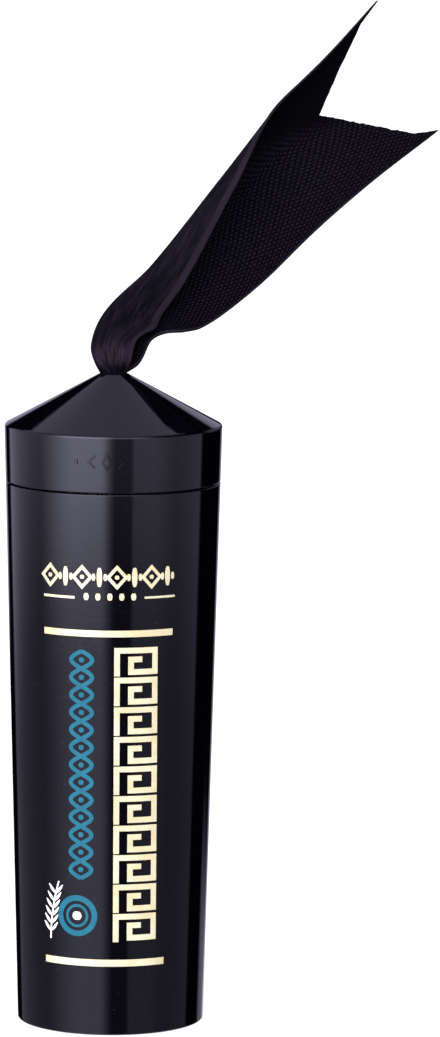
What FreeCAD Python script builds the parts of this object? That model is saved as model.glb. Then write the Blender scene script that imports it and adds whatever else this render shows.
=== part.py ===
import FreeCAD
import Part
import math
import os

# Kohl container, in millimetres. +Z is up, and the origin is the centre of the foot, on the table.
# A tapered case stands on its closed end. A conical head with a satin ribbon closes it. The head
# carries a wind-out kohl stick that hangs into the case. Turning the head in the stick's sleeve
# drives two lugs down a helical cam, and pulling the head lifts the whole stick out.

V = FreeCAD.Vector

# ---- Outside, read from the photograph ----
case_height = 57.55           # foot to seam
foot_radius = 9.85
seam_radius = 11.34
foot_round = 0.2
rim_round = 0.12              # either side of the seam, and at the tip
skirt_height = 5.92           # head's straight side, rim to crease
cone_slope_deg = 28.28
crease_round = 0.4
apex_radius = 1.55            # flat ring round the ribbon's hole
ribbon_hole_radius = 1.35

# ---- Case and its liner ----
case_floor = 1.8
case_floor_round = 0.4        # inside corner at the floor
case_wall_foot = 1.25
case_wall_mouth = 1.75
label_recess_depth = 0.3
label_recess_radius = 7.6
label_thickness = 0.12
label_margin = 0.2            # bare ring round the label
liner_side_gap = 0.45         # liner to case bore at the foot
liner_foot_gap = 0.4
liner_wall = 0.7
liner_floor = 1.0
liner_corner_round = 0.8
liner_flange_step = 0.6       # ledge in the case's mouth
liner_flange_thickness = 1.2
liner_flange_setback = 0.2    # flange below the case's rim
liner_rib_count = 6
liner_rib_width = 0.8
liner_rib_foot = 6.0          # height where a rib starts
liner_rib_short = 5.0         # how far a rib stops below the flange
liner_lead_in = 0.35
bead_height = 0.10
bead_half_width = 0.6
bead_depth = 2.6              # bead below the flange's top

# ---- Fits ----
press_gap = 0.03              # glued or pressed parts of one body
running_gap = 0.10            # parts that turn or slide in each other
seam_gap = 0.15
sleeve_in_liner_gap = 0.15

# ---- Stick: sleeve, cam, guide, carrier and kohl ----
sleeve_wall = 0.5
sleeve_lip = 0.6
sleeve_corner_round = 0.7     # outside corner at the turned-in lip
sleeve_mouth_margin = 0.9     # mouth round the kohl
edge_round = 0.15             # eased edges of the stick's parts
corner_round_limit = 0.45     # a round takes at most this share of a side
cam_wall = 1.15
cam_lead = 10.0               # carrier travel for one turn of the head
cam_groove_depth = 0.6
cam_groove_play = 0.17        # either side of a lug
cam_run_out_deg = 10.0        # groove past each end of the travel
cam_starts = 2
guide_wall = 0.75
guide_end_gap = 0.3           # guide tube to the sleeve's lip
guide_lip_height = 0.8
guide_lip_reach = 0.5
guide_lip_round = 0.25
slot_end_gap = 0.15
ring_section_radius = 0.35
ring_seat_depth = 0.25
ring_drop = 1.0               # torque ring below the cam's top
cup_wall = 0.6
cup_floor = 1.6
cup_grip = 7.0                # length of kohl held in the cup
cup_drop = 7.6                # cup below the cam's top at rest
lug_diameter = 1.4
kohl_gap = 0.05
kohl_cone_length = 8.5
kohl_tip_radius = 0.45
kohl_shoulder_round = 6.0
kohl_travel = 15.0
kohl_tip_setback = 1.0        # tip inside the sleeve's mouth at rest
kohl_tip_clearance = 4.8      # tip to liner floor, wound right out

# ---- Head ----
head_wall = 1.3
insert_recess = 0.3           # insert above the head's rim
insert_thickness = 2.2
insert_ledge = 0.6            # step that the insert seats on
sleeve_groove_depth = 1.4     # the sleeve's top runs in this groove
sleeve_end_gap = 0.25
socket_depth = 3.75           # guide tube inside the insert
socket_web = 0.8
landing_radius = 3.0          # flat under the tip that the washer seats on

# ---- Ribbon ----
ribbon_width = 15.0
ribbon_thickness = 0.3
ribbon_neck_gap = 0.08        # gathered neck in its hole
neck_stub = 0.35              # solid gather above the hole
washer_thickness = 0.4
washer_rim = 0.2              # landing left bare round the washer
knot_radius = 2.3
knot_height = 2.9
knot_round = 1.2

# ---- Heights, worked up from the foot and down from the seam ----
taper = (seam_radius - foot_radius) / case_height
rim_z = case_height + seam_gap
crease_z = rim_z + skirt_height
cone_rise = math.tan(math.radians(cone_slope_deg))
crease_radius = foot_radius + taper * crease_z
apex_z = crease_z + (crease_radius - apex_radius) * cone_rise
liner_seat_z = case_height - liner_flange_setback - liner_flange_thickness
liner_foot_z = case_floor + liner_foot_gap
liner_floor_z = liner_foot_z + liner_floor
tip_z = liner_floor_z + kohl_tip_clearance + kohl_travel
mouth_z = tip_z - kohl_tip_setback
insert_z = rim_z + insert_recess
insert_top_z = insert_z + insert_thickness
cam_foot_z = mouth_z + sleeve_lip
cam_top_z = insert_z - sleeve_end_gap
sleeve_top_z = insert_z + sleeve_groove_depth - sleeve_end_gap
guide_foot_z = cam_foot_z + guide_end_gap
guide_top_z = insert_z + socket_depth
web_top_z = guide_top_z + socket_web
ring_z = cam_top_z - ring_drop
cup_top_z = cam_top_z - cup_drop
cup_floor_z = cup_top_z - cup_floor
lug_z = cup_top_z - cup_floor / 2
cone_wall_rise = head_wall / math.cos(math.radians(cone_slope_deg))
landing_z = crease_z + (crease_radius - landing_radius) * cone_rise - cone_wall_rise

# ---- Radii, worked inwards from the case ----
bore_foot_radius = foot_radius - case_wall_foot
bore_mouth_radius = seam_radius - case_wall_mouth
liner_outer = bore_foot_radius - liner_side_gap
liner_inner = liner_outer - liner_wall
sleeve_outer = liner_inner - sleeve_in_liner_gap
sleeve_inner = sleeve_outer - sleeve_wall
cam_outer = sleeve_inner - press_gap
cam_inner = cam_outer - cam_wall
guide_outer = cam_inner - running_gap
guide_inner = guide_outer - guide_wall
cup_outer = guide_inner - running_gap
cup_inner = cup_outer - cup_wall
kohl_radius = cup_inner - kohl_gap
guide_lip_radius = guide_outer + guide_lip_reach
ring_seat_radius = guide_outer - ring_seat_depth
ring_reach = ring_seat_radius + 2 * ring_section_radius
lug_reach = cam_inner + cam_groove_depth - running_gap
head_bore_radius = seam_radius - head_wall
neck_radius = ribbon_hole_radius - ribbon_neck_gap


def bore_radius(z):
    """Case bore at a height: a straight taper from the floor to the mouth's ledge."""
    share = (z - case_floor) / (liner_seat_z - case_floor)
    return bore_foot_radius + share * (bore_mouth_radius - bore_foot_radius)


def turned(points):
    """Solid of revolution about Z. A point is (radius, height) or (radius, height, corner round)."""
    corners = [V(point[0], 0, point[1]) for point in points]
    starts, ends, middles = [], [], []
    for i, corner in enumerate(corners):
        back = corners[i - 1] - corner
        ahead = corners[(i + 1) % len(corners)] - corner
        corner_round = points[i][2] if len(points[i]) > 2 else 0
        half = back.getAngle(ahead) / 2
        limit = corner_round_limit * min(back.Length, ahead.Length)
        reach = min(corner_round / math.tan(half), limit)
        starts.append(corner + back.normalize() * reach)
        ends.append(corner + ahead.normalize() * reach)
        to_arc = reach / math.cos(half) - reach * math.tan(half)
        middles.append(corner + (back + ahead).normalize() * to_arc if reach > 0 else None)
    edges = []
    for i, middle in enumerate(middles):
        edges.append(Part.makeLine(ends[i - 1], starts[i]))
        if middle:
            edges.append(Part.Arc(starts[i], middle, ends[i]).toShape())
    face = Part.Face(Part.Wire(edges))
    return face.revolve(V(0, 0, 0), V(0, 0, 1), 360)


def case_shell():
    """Long tapered moulding, closed at the foot, with a label recess and a ledge in its mouth."""
    ledge_radius = bore_mouth_radius + liner_flange_step
    return turned([
        (0, label_recess_depth),
        (label_recess_radius, label_recess_depth),
        (label_recess_radius, 0),
        (foot_radius, 0, foot_round),
        (seam_radius, case_height, rim_round),
        (ledge_radius, case_height, rim_round),
        (ledge_radius, liner_seat_z),
        (bore_mouth_radius, liner_seat_z),
        (bore_foot_radius, case_floor, case_floor_round),
        (0, case_floor),
    ])


def case_liner():
    """Plain cup inside the case: it hangs on the ledge by its flange and grips the sleeve."""
    flange_radius = bore_mouth_radius + liner_flange_step - press_gap
    flange_top = liner_seat_z + liner_flange_thickness
    bead_z = flange_top - bead_depth
    cup = turned([
        (0, liner_foot_z),
        (liner_outer, liner_foot_z, liner_corner_round),
        (liner_outer, liner_seat_z),
        (flange_radius, liner_seat_z),
        (flange_radius, flange_top),
        (liner_inner + liner_lead_in, flange_top),
        (liner_inner, flange_top - liner_lead_in),
        (liner_inner, bead_z + bead_half_width),
        (liner_inner - bead_height, bead_z, bead_half_width),
        (liner_inner, bead_z - bead_half_width),
        (liner_inner, liner_floor_z, liner_corner_round),
        (0, liner_floor_z),
    ])
    rib_top = liner_seat_z - liner_rib_short
    rib_start = (liner_outer + liner_inner) / 2
    ring = turned([
        (rib_start, liner_rib_foot),
        (bore_radius(liner_rib_foot) - press_gap, liner_rib_foot),
        (bore_radius(rib_top) - press_gap, rib_top),
        (rib_start, rib_top),
    ])
    length = bore_mouth_radius
    blade = Part.makeBox(length, liner_rib_width, case_height, V(0, -liner_rib_width / 2, 0))
    for i in range(liner_rib_count):
        turned_blade = blade.copy()
        turned_blade.rotate(V(0, 0, 0), V(0, 0, 1), i * 360 / liner_rib_count)
        cup = cup.fuse(ring.common(turned_blade))
    return cup.removeSplitter()


def base_label():
    """Blank round label stuck to the roof of the recess, clear of the table."""
    bottom = label_recess_depth - label_thickness
    return Part.makeCylinder(label_recess_radius - label_margin, label_thickness, V(0, 0, bottom))


def outer_sleeve():
    """Drawn metal sleeve with its lower edge turned in round the kohl's mouth."""
    mouth_radius = kohl_radius + sleeve_mouth_margin
    return turned([
        (mouth_radius, mouth_z, edge_round),
        (sleeve_outer, mouth_z, sleeve_corner_round),
        (sleeve_outer, sleeve_top_z, edge_round),
        (sleeve_inner, sleeve_top_z),
        (sleeve_inner, mouth_z + sleeve_lip),
        (mouth_radius, mouth_z + sleeve_lip, edge_round),
    ])


def cam_groove(start_deg):
    """One helical groove: a rectangle swept up a helix that ends where a lug rests."""
    turns = kohl_travel / cam_lead + 2 * cam_run_out_deg / 360
    climb = math.atan(cam_lead / (2 * math.pi * cam_inner))
    half_height = (lug_diameter / 2 + cam_groove_play) / math.cos(climb)
    inside = cam_inner - running_gap
    outside = cam_inner + cam_groove_depth
    section = Part.makePolygon([
        V(inside, 0, -half_height),
        V(outside, 0, -half_height),
        V(outside, 0, half_height),
        V(inside, 0, half_height),
        V(inside, 0, -half_height),
    ])
    helix = Part.makeHelix(cam_lead, turns * cam_lead, cam_inner)
    groove = Part.Wire(helix).makePipeShell([Part.Wire(section)], True, True)
    lowest = lug_z - kohl_travel - cam_run_out_deg / 360 * cam_lead
    groove.rotate(V(0, 0, 0), V(0, 0, 1), start_deg - (turns * 360 - cam_run_out_deg))
    groove.translate(V(0, 0, lowest))
    return groove


def cam_sleeve():
    """Moulded tube fixed in the outer sleeve. Its grooves drive the carrier's lugs."""
    snap_radius = guide_lip_radius + running_gap
    shoulder_z = guide_foot_z + guide_lip_height + running_gap
    seat_radius = ring_reach + running_gap / 2
    seat_z = ring_z - 2 * ring_section_radius
    tube = turned([
        (snap_radius, cam_foot_z),
        (cam_outer, cam_foot_z),
        (cam_outer, cam_top_z),
        (seat_radius, cam_top_z),
        (seat_radius, seat_z),
        (cam_inner, seat_z),
        (cam_inner, shoulder_z),
        (snap_radius, shoulder_z),
    ])
    for i in range(cam_starts):
        tube = tube.cut(cam_groove(i * 360 / cam_starts))
    return tube


def guide_slot(angle_deg):
    """Straight slot for one lug, as long as the travel, with round ends."""
    half_width = lug_diameter / 2 + running_gap
    top = lug_z + slot_end_gap
    bottom = lug_z - kohl_travel - slot_end_gap
    reach = guide_lip_radius
    slot = Part.makeBox(reach, 2 * half_width, top - bottom, V(0, -half_width, bottom))
    for end in (top, bottom):
        slot = slot.fuse(Part.makeCylinder(half_width, reach, V(0, 0, end), V(1, 0, 0)))
    slot.rotate(V(0, 0, 0), V(0, 0, 1), angle_deg)
    return slot


def guide_tube():
    """Slotted tube held in the head. Its foot has a lip that keeps the sleeve on."""
    lip_top = guide_foot_z + guide_lip_height
    half_seat = ring_section_radius + running_gap
    tube = turned([
        (guide_inner, guide_foot_z),
        (guide_lip_radius, guide_foot_z, guide_lip_round),
        (guide_lip_radius, lip_top),
        (guide_outer, lip_top),
        (guide_outer, ring_z - half_seat),
        (ring_seat_radius, ring_z - half_seat),
        (ring_seat_radius, ring_z + half_seat),
        (guide_outer, ring_z + half_seat),
        (guide_outer, guide_top_z),
        (guide_inner, guide_top_z),
    ])
    for i in range(cam_starts):
        tube = tube.cut(guide_slot(i * 360 / cam_starts))
    return tube


def torque_ring():
    """Soft ring in the guide tube's seat. It gives the turning head its drag."""
    return Part.makeTorus(ring_seat_radius + ring_section_radius, ring_section_radius, V(0, 0, ring_z))


def carrier_cup():
    """Cup that holds the kohl. Its lugs pass the guide's slots and ride in the cam's grooves."""
    cup = turned([
        (cup_inner, cup_floor_z - cup_grip, edge_round),
        (cup_outer, cup_floor_z - cup_grip, edge_round),
        (cup_outer, cup_top_z, edge_round),
        (0, cup_top_z),
        (0, cup_floor_z),
        (cup_inner, cup_floor_z),
    ])
    for i in range(cam_starts):
        lug_start = V(cup_inner, 0, lug_z)
        lug = Part.makeCylinder(lug_diameter / 2, lug_reach - cup_inner, lug_start, V(1, 0, 0))
        lug.rotate(V(0, 0, 0), V(0, 0, 1), i * 360 / cam_starts)
        cup = cup.fuse(lug)
    return cup.removeSplitter()


def kohl_stick():
    """Round stick of kohl with a cone tip that points down, seated in the cup."""
    return turned([
        (0, tip_z),
        (kohl_tip_radius, tip_z, kohl_tip_radius),
        (kohl_radius, tip_z + kohl_cone_length, kohl_shoulder_round),
        (kohl_radius, cup_floor_z),
        (0, cup_floor_z),
    ])


def head_shell():
    """Hollow conical head. The skirt carries on the case's taper, and the tip has the ribbon's hole."""
    ledge_radius = head_bore_radius - insert_ledge
    cone_under = landing_z + (landing_radius - ledge_radius) * cone_rise
    return turned([
        (head_bore_radius, rim_z),
        (foot_radius + taper * rim_z, rim_z, rim_round),
        (crease_radius, crease_z, crease_round),
        (apex_radius, apex_z, rim_round),
        (ribbon_hole_radius, apex_z),
        (ribbon_hole_radius, landing_z),
        (landing_radius, landing_z),
        (ledge_radius, cone_under),
        (ledge_radius, insert_top_z),
        (head_bore_radius, insert_top_z),
    ])


def head_insert():
    """Plug glued into the head. A boss holds the guide tube, and the sleeve turns in a groove."""
    socket_radius = guide_outer + press_gap
    groove_inner = sleeve_inner - running_gap
    groove_outer = sleeve_outer + running_gap
    groove_top = insert_z + sleeve_groove_depth
    plug_radius = head_bore_radius - press_gap
    return turned([
        (0, guide_top_z),
        (socket_radius, guide_top_z),
        (socket_radius, insert_z),
        (groove_inner, insert_z),
        (groove_inner, groove_top),
        (groove_outer, groove_top),
        (groove_outer, insert_z),
        (plug_radius, insert_z),
        (plug_radius, insert_top_z),
        (groove_inner, insert_top_z),
        (groove_inner, web_top_z),
        (0, web_top_z),
    ])


def knot_washer():
    """Washer between the ribbon's knot and the landing under the tip."""
    radius = landing_radius - washer_rim
    bottom = V(0, 0, landing_z - washer_thickness)
    disc = Part.makeCylinder(radius, washer_thickness, bottom)
    return disc.cut(Part.makeCylinder(ribbon_hole_radius, washer_thickness, bottom))


def ribbon_knot():
    """The ribbon's knot, pulled up under the washer."""
    top = landing_z - washer_thickness
    bottom = top - knot_height
    return turned([
        (0, bottom),
        (knot_radius, bottom, knot_round),
        (knot_radius, top, knot_round),
        (0, top),
    ])


# The ribbon's folded form, as cross-sections square to its run. Each is one smooth line of cloth:
# a flap on the viewer's side, a fold, then a far layer. Lengths are millimetres, turns degrees.
#   left, up      the fold's outer side, from the head's tip
#   run           direction of the ribbon above the horizontal
#   flap, curl    length of the flap, and its turn
#   fold, turn    radius of the fold, and its turn
#   bend, end     turn of the far layer, and its heading at the selvedge
#   back          how far the fold lies behind the head's axis
#   spread        share of the cloth's width that isn't bunched up
#   bulk          thickness as a multiple of the cloth's
ribbon_stations = [
    dict(left=-1.07, up=0.05, run=90, flap=1.3, curl=80, fold=1.0, turn=150, bend=75, end=38,
         back=0.0, spread=0.38, bulk=2.0),
    dict(left=-1.92, up=1.34, run=85.41, flap=3, curl=40, fold=0.8, turn=140, bend=55.49, end=28,
         back=0.6, spread=0.61, bulk=1.6),
    dict(left=-2.29, up=2.71, run=96.9, flap=4, curl=30, fold=0.8, turn=145, bend=49, end=24.77,
         back=1.6, spread=0.8, bulk=1.3),
    dict(left=-1.62, up=4.98, run=85.12, flap=5.4, curl=25, fold=0.7, turn=150, bend=40, end=25.78,
         back=3.4, spread=1.06, bulk=1.1),
    dict(left=-0.1, up=6.97, run=75.03, flap=4.7, curl=20, fold=0.6, turn=145, bend=57.44, end=32.79,
         back=5.5, spread=1.07, bulk=1.0),
    dict(left=3.84, up=10.51, run=66.96, flap=3.3, curl=15, fold=0.7, turn=130, bend=86.18, end=47.38,
         back=8.6, spread=1.03, bulk=1.0),
    dict(left=11.24, up=19.64, run=48.84, flap=1.1, curl=10, fold=1.0, turn=120, bend=87.71, end=47.93,
         back=12.8, spread=1.0, bulk=1.0),
    dict(left=19.33, up=29.5, run=43.22, flap=0.5, curl=5, fold=2.05, turn=62.44, bend=29.75, end=46.2,
         back=21.5, spread=1.0, bulk=1.0),
    dict(left=31.41, up=41.99, run=44.74, flap=0.5, curl=5, fold=1.54, turn=28.47, bend=3, end=-0.62,
         back=30.5, spread=1.02, bulk=1.0),
]
ribbon_sections = 26          # cross-sections from neck to tails, evenly spaced
# The swallow-tail cut, across and up from the head's tip. Each side of it bends once.
long_tail = (28.54, 38.64)
long_bend = (26.14, 35.48)
tail_notch = (21.66, 25.85)
short_bend = (31.96, 23.97)
short_tail = (35.15, 24.39)
tail_overrun = 16.0           # how far the cut reaches past the tails


def blended_stations():
    """Stations evenly spaced along the fold, by a smooth cubic through the chosen ones."""
    marks = [0.0]
    for a, b in zip(ribbon_stations, ribbon_stations[1:]):
        marks.append(marks[-1] + math.hypot(b["left"] - a["left"], b["up"] - a["up"]))
    last = len(marks) - 1
    blended = []
    for i in range(ribbon_sections):
        mark = marks[-1] * i / (ribbon_sections - 1)
        k = min(sum(1 for m in marks[1:] if m <= mark), last - 1)
        span = marks[k + 1] - marks[k]
        u = (mark - marks[k]) / span
        station = {}
        for name in ribbon_stations[0]:
            values = [s[name] for s in ribbon_stations]
            slopes = []
            for j in (k, k + 1):
                before, after = max(j - 1, 0), min(j + 1, last)
                slopes.append((values[after] - values[before]) / (marks[after] - marks[before]))
            station[name] = ((2 * u**3 - 3 * u**2 + 1) * values[k] + (3 * u**2 - 2 * u**3) * values[k + 1]
                             + (u**3 - 2 * u**2 + u) * span * slopes[0] + (u**3 - u**2) * span * slopes[1])
        blended.append(station)
    return blended


def station_arcs(station):
    """The three arcs of a cross-section: where each starts, its heading, radius and turn."""
    fold_length = station["fold"] * math.radians(station["turn"])
    far_length = ribbon_width * station["spread"] - station["flap"] - fold_length
    heading = station["end"] - station["bend"] - station["turn"] - station["curl"]
    across, near, arcs = 0.0, 0.0, []
    for length, turn in ((station["flap"], station["curl"]), (fold_length, station["turn"]),
                         (far_length, station["bend"])):
        radius = length / math.radians(turn)
        arcs.append((across, near, heading, radius, turn))
        start, stop = math.radians(heading), math.radians(heading + turn)
        across += radius * (math.sin(stop) - math.sin(start))
        near += radius * (math.cos(start) - math.cos(stop))
        heading += turn
    return arcs


def arc_point(arc, share, offset):
    """Point at a share of an arc's length, moved out from the arc's centre by an offset."""
    across, near, heading, radius, turn = arc
    start = math.radians(heading)
    angle = math.radians(heading + turn * share)
    return (across - radius * math.sin(start) + (radius + offset) * math.sin(angle),
            near + radius * math.cos(start) - (radius + offset) * math.cos(angle))


def station_wire(station):
    """Closed outline of the cloth's cross-section, placed square to the ribbon's run."""
    arcs = station_arcs(station)
    leftmost = arcs[1][0] - arcs[1][3] * (math.sin(math.radians(arcs[1][2])) + 1)
    middle = arc_point(arcs[1], 0.5, 0)[1]
    run = math.radians(station["run"])
    sideways = V(math.sin(run), 0, -math.cos(run))
    origin = V(station["left"], station["back"], apex_z + station["up"])
    half = ribbon_thickness * station["bulk"] / 2

    def placed(arc, share, offset):
        across, near = arc_point(arc, share, offset)
        return origin + sideways * (across - leftmost) + V(0, middle - near, 0)

    outer = [[placed(arc, share, half) for share in (0, 0.5, 1)] for arc in arcs]
    inner = [[placed(arc, share, -half) for share in (1, 0.5, 0)] for arc in reversed(arcs)]
    edges = [Part.Arc(*points).toShape() for points in outer]
    edges.append(Part.makeLine(outer[-1][-1], inner[0][0]))
    edges += [Part.Arc(*points).toShape() for points in inner]
    edges.append(Part.makeLine(inner[-1][-1], outer[0][0]))
    return Part.Wire(edges)


def ribbon():
    """Satin ribbon: a gathered neck through the hole, then a folded sheet that opens out."""
    notch, long_turn, long_tip, short_turn, short_tip = (
        V(place[0], 0, apex_z + place[1])
        for place in (tail_notch, long_bend, long_tail, short_bend, short_tail))
    past_long, past_short = (
        tip + (tip - turn) * (tail_overrun / (tip - turn).Length)
        for turn, tip in ((long_turn, long_tip), (short_turn, short_tip)))
    cutter = Part.Face(Part.makePolygon(
        [notch, long_turn, past_long, past_short, short_turn, notch]))
    cutter.translate(V(0, -ribbon_width, 0))
    sheet = Part.makeLoft([station_wire(s) for s in blended_stations()], True, True)
    sheet = sheet.cut(cutter.extrude(V(0, 4 * ribbon_width, 0)))
    neck_foot = landing_z - washer_thickness
    neck = Part.makeCylinder(neck_radius, apex_z + neck_stub - neck_foot, V(0, 0, neck_foot))
    return neck.fuse(sheet)


pieces = {
    "case_shell": case_shell,
    "case_liner": case_liner,
    "base_label": base_label,
    "outer_sleeve": outer_sleeve,
    "cam_sleeve": cam_sleeve,
    "guide_tube": guide_tube,
    "torque_ring": torque_ring,
    "carrier_cup": carrier_cup,
    "kohl_stick": kohl_stick,
    "head_shell": head_shell,
    "head_insert": head_insert,
    "knot_washer": knot_washer,
    "ribbon_knot": ribbon_knot,
    "ribbon": ribbon,
}

os.makedirs("parts", exist_ok=True)
for name, build in pieces.items():
    shape = build()
    shape.exportStep(f"parts/{name}.step")
    box = shape.BoundBox
    print(f"{name}: {len(shape.Solids)} solid, valid {shape.isValid()}, volume {shape.Volume:.2f}, "
          f"x {box.XMin:.2f}..{box.XMax:.2f}, y {box.YMin:.2f}..{box.YMax:.2f}, "
          f"z {box.ZMin:.2f}..{box.ZMax:.2f}")
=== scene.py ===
import math

import bpy
import mathutils
import numpy as np
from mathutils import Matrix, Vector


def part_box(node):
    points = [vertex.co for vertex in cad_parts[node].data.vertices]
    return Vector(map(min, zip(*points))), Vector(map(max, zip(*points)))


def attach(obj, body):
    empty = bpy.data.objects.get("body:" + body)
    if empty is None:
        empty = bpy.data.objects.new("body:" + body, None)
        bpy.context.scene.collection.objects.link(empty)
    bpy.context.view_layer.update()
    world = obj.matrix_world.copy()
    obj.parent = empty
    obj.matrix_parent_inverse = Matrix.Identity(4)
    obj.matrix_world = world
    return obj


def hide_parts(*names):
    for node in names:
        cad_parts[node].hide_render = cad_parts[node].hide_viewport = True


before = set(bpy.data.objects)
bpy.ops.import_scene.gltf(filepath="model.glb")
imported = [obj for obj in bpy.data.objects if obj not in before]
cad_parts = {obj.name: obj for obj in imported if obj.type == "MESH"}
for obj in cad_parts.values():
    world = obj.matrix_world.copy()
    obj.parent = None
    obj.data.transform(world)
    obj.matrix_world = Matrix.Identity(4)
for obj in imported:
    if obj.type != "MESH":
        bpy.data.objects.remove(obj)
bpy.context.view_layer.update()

# ---- Camera ----
# The container is seen from a little above, from far enough for its sides to stay almost
# parallel. The lens looks past the case's right, so that the ribbon fills the frame's top.

camera_aim = (0.0113, 0.0, 0.05365)
camera_distance = 0.673
camera_pitch = math.radians(7.74)
camera_roll = math.radians(0.44)
camera_data = bpy.data.cameras.new("camera")
camera_data.sensor_fit = "AUTO"
camera_data.sensor_width = 36
camera_data.lens = 221.2
camera_data.clip_start = 0.01
camera_data.clip_end = 20
camera = bpy.data.objects.new("camera", camera_data)
camera.location = (
    camera_aim[0],
    camera_aim[1] - camera_distance * math.cos(camera_pitch),
    camera_aim[2] + camera_distance * math.sin(camera_pitch),
)
tilt = mathutils.Matrix.Rotation(math.pi / 2 - camera_pitch, 3, "X")
roll = mathutils.Matrix.Rotation(camera_roll, 3, "Z")
camera.rotation_euler = (tilt @ roll).to_euler()
bpy.context.collection.objects.link(camera)
bpy.context.scene.camera = camera


# ---- Case ----
# Long tapered moulding in black plastic, closed at the foot and lacquered to a mirror gloss.
# Its mouth has a ledge for the liner, and its foot a shallow recess for a round label.

mm = 0.001
case_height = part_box("case_shell")[1][2]
seam_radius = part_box("case_shell")[1][0]
foot_radius = 9.85 * mm
foot_round = 0.2 * mm
rim_round = 0.12 * mm
small_round = 0.05 * mm
recess_radius = 7.6 * mm
recess_depth = 0.3 * mm
case_floor = 1.8 * mm
case_floor_round = 0.4 * mm
bore_foot_radius = 8.6 * mm
bore_mouth_radius = 9.59 * mm
ledge_radius = 10.19 * mm
ledge_height = 56.15 * mm
taper = (seam_radius - foot_radius) / case_height
lathe_turns = 256


def piece_from(name, points, faces, normals=None):
    """Smooth mesh object at the origin, from arrays of points and faces."""
    mesh = bpy.data.meshes.new(name)
    mesh.from_pydata(points.reshape(-1, 3).tolist(), [], faces)
    mesh.shade_smooth()
    if normals is not None:
        mesh.normals_split_custom_set_from_vertices(normals.reshape(-1, 3).tolist())
    piece = bpy.data.objects.new(name, mesh)
    bpy.context.collection.objects.link(piece)
    return piece


def rounded(corners, closed, arc_steps=6):
    """Outline through (radius, height, round) corners, and its normals.

    At a corner the outline leaves one side and joins the next by an arc that touches both: the
    arc's centre lies on the corner's bisector, round / sin(half angle) from the corner. The
    normal is on the right of the way the outline runs.
    """
    corner = np.array([c[:2] for c in corners])
    back = np.roll(corner, 1, axis=0) - corner
    ahead = np.roll(corner, -1, axis=0) - corner
    points, normals = [], []
    for k, place in enumerate(corner):
        a, b = back[k] / np.linalg.norm(back[k]), ahead[k] / np.linalg.norm(ahead[k])
        if not closed and k in (0, len(corner) - 1):
            way = b if k == 0 else -a
            points.append(place[None])
            normals.append(np.array([[way[1], -way[0]]]))
            continue
        half = math.acos(np.clip(a @ b, -1, 1)) / 2
        arc_radius = corners[k][2]
        centre = place + (a + b) / np.linalg.norm(a + b) * arc_radius / math.sin(half)
        start, stop = np.array([-a[1], a[0]]), np.array([b[1], -b[0]])
        from_angle = math.atan2(start[1], start[0])
        turn = math.atan2(start[0] * stop[1] - start[1] * stop[0], start @ stop)
        angle = from_angle + turn * np.linspace(0, 1, arc_steps + 1)
        round_normal = np.stack([np.cos(angle), np.sin(angle)], axis=1)
        points.append(centre + round_normal * arc_radius * math.copysign(1, turn))
        normals.append(round_normal)
    return np.concatenate(points), np.concatenate(normals)


def turned(name, corners, closed=False, turns=lathe_turns, relief=None):
    """Lathe-turned piece: (r, z) of the outline goes to (r sin a, -r cos a, z) for angles a.

    An open outline starts and ends on the axis, and each end becomes one pole point. relief is
    a function of (angle, radius, height) that moves the surface along its normal.
    """
    outline, slope = rounded(corners, closed)
    angle = np.arange(turns) / turns * 2 * math.pi
    around = np.stack([np.sin(angle), -np.cos(angle)], axis=1)
    ring = outline if closed else outline[1:-1]
    ring_slope = slope if closed else slope[1:-1]
    radius, height = ring[:, None, 0], ring[:, None, 1] + 0 * angle
    grid = np.stack([radius * around[:, 0], radius * around[:, 1], height], axis=-1)
    normal = np.stack([
        ring_slope[:, None, 0] * around[:, 0],
        ring_slope[:, None, 0] * around[:, 1],
        ring_slope[:, None, 1] + 0 * angle,
    ], axis=-1)
    if relief is not None:
        grid = grid + normal * relief(angle[None], radius, height)[..., None]
    rows = len(ring)
    index = np.arange(rows * turns).reshape(rows, turns)
    low = index if closed else index[:-1]
    high = np.roll(index, -1, axis=0) if closed else index[1:]
    quads = np.stack([low, np.roll(low, -1, 1), np.roll(high, -1, 1), high], axis=-1).reshape(-1, 4)
    faces = quads.tolist()
    points, normals = grid.reshape(-1, 3), normal.reshape(-1, 3)
    if not closed:
        first, last = rows * turns, rows * turns + 1
        start, stop = index[0], index[-1]
        faces += np.stack([np.full(turns, first), np.roll(start, -1), start], axis=1).tolist()
        faces += np.stack([np.full(turns, last), stop, np.roll(stop, -1)], axis=1).tolist()
        poles = [[0, 0, outline[0, 1]], [0, 0, outline[-1, 1]]]
        points = np.concatenate([points, poles])
        normals = np.concatenate([normals, [[0, 0, slope[0, 1]], [0, 0, slope[-1, 1]]]])
    return piece_from(name, points, faces, normals if relief is None else None)


class Wire:
    """A number on its way through a shader: each operator adds the Math node that does it."""

    def __init__(self, finish, socket):
        self.finish = finish
        self.socket = socket

    def __add__(self, other):
        return self.finish.maths("ADD", self, other)

    def __sub__(self, other):
        return self.finish.maths("SUBTRACT", self, other)

    def __rsub__(self, other):
        return self.finish.maths("SUBTRACT", other, self)

    def __mul__(self, other):
        return self.finish.maths("MULTIPLY", self, other)

    __radd__ = __add__
    __rmul__ = __mul__


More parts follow.
